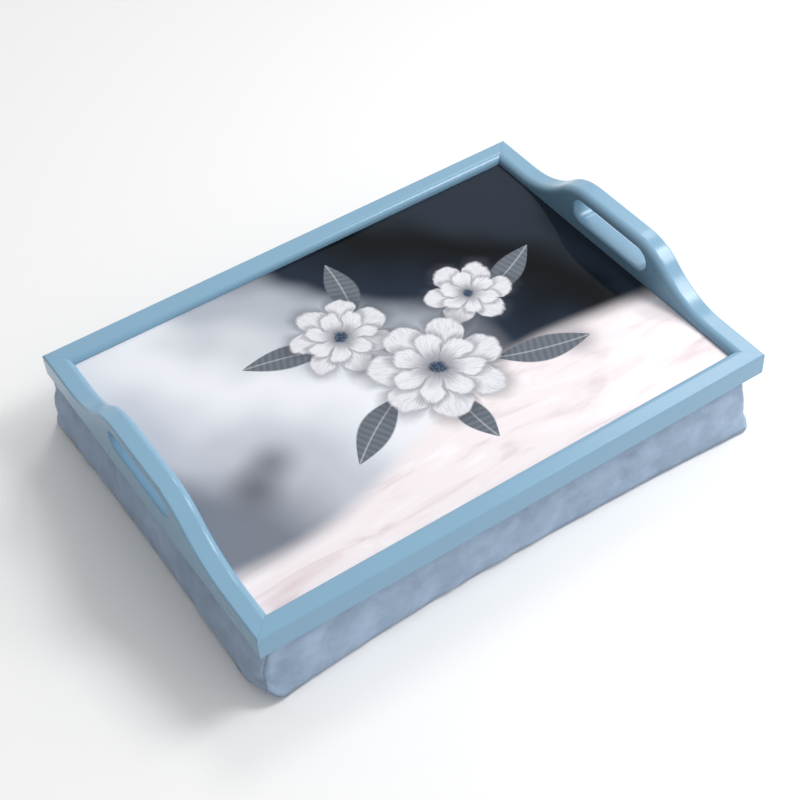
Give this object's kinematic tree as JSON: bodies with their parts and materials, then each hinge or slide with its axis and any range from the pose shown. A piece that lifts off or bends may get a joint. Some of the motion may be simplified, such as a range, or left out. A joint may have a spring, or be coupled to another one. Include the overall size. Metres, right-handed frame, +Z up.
{
  "type": "lap tray with cushion",
  "caption": "Lap tray: mitred painted wood frame with two raised slotted handles and a glossy printed board, on a removable bead-filled fabric cushion with a zip.",
  "frame": {"origin": "on the ground under the centre of the tray, at the flat base of the cushion", "axes": "+X along the tray's long side, +Y away from the sitter (the zip is in the wall on +Y), +Z up"},
  "size_m": [0.43, 0.32, 0.104],
  "materials": {
    "painted_frame": "satin",
    "hardboard": "matte",
    "printed_laminate": "gloss",
    "nail_steel": "satin",
    "fastening_tape": "matte",
    "cover_fabric": "matte",
    "liner_fabric": "matte",
    "beads": "matte",
    "zip_tape": "matte",
    "zip_coil": "satin",
    "zip_metal": "polished"
  },
  "bodies": {
    "cushion": {"cover_bottom": "cover_fabric", "cover_top": "cover_fabric", "gusset_front": "cover_fabric", "gusset_left": "cover_fabric", "gusset_right": "cover_fabric", "gusset_back_upper": "cover_fabric", "gusset_back_lower": "cover_fabric", "bead_liner": "liner_fabric", "bead_fill": "beads", "loop_strip_front": "fastening_tape", "loop_strip_back": "fastening_tape", "loop_strip_left": "fastening_tape", "loop_strip_right": "fastening_tape", "zip_tape_upper": "zip_tape", "zip_tape_lower": "zip_tape", "zip_coil_upper": "zip_coil", "zip_coil_lower": "zip_coil", "zip_stops": "zip_metal"},
    "tray": {"front_rail": "painted_frame", "back_rail": "painted_frame", "left_handle_rail": "painted_frame", "right_handle_rail": "painted_frame", "tray_board": "hardboard", "print_sheet": "printed_laminate", "corner_v_nails": "nail_steel", "hook_strip_front": "fastening_tape", "hook_strip_back": "fastening_tape", "hook_strip_left": "fastening_tape", "hook_strip_right": "fastening_tape"},
    "zip_slider": {"zip_slider": "zip_metal"},
    "zip_pull": {"zip_pull": "zip_metal"}
  },
  "joints": [
    {"name": "tray_lift", "type": "slide", "parent": "cushion", "child": "tray", "axis": [0, 0, 1], "range_m": [0, 0.1]},
    {"name": "zip_slide", "type": "slide", "parent": "cushion", "child": "zip_slider", "axis": [1, 0, 0], "range_m": [0, 0.2884]},
    {"name": "pull_swing", "type": "hinge", "parent": "zip_slider", "child": "zip_pull", "pos_m": [-0.1482, 0.15616, 0.0286], "axis": [0, 0, 1], "range_deg": [0, 180]}
  ]
}
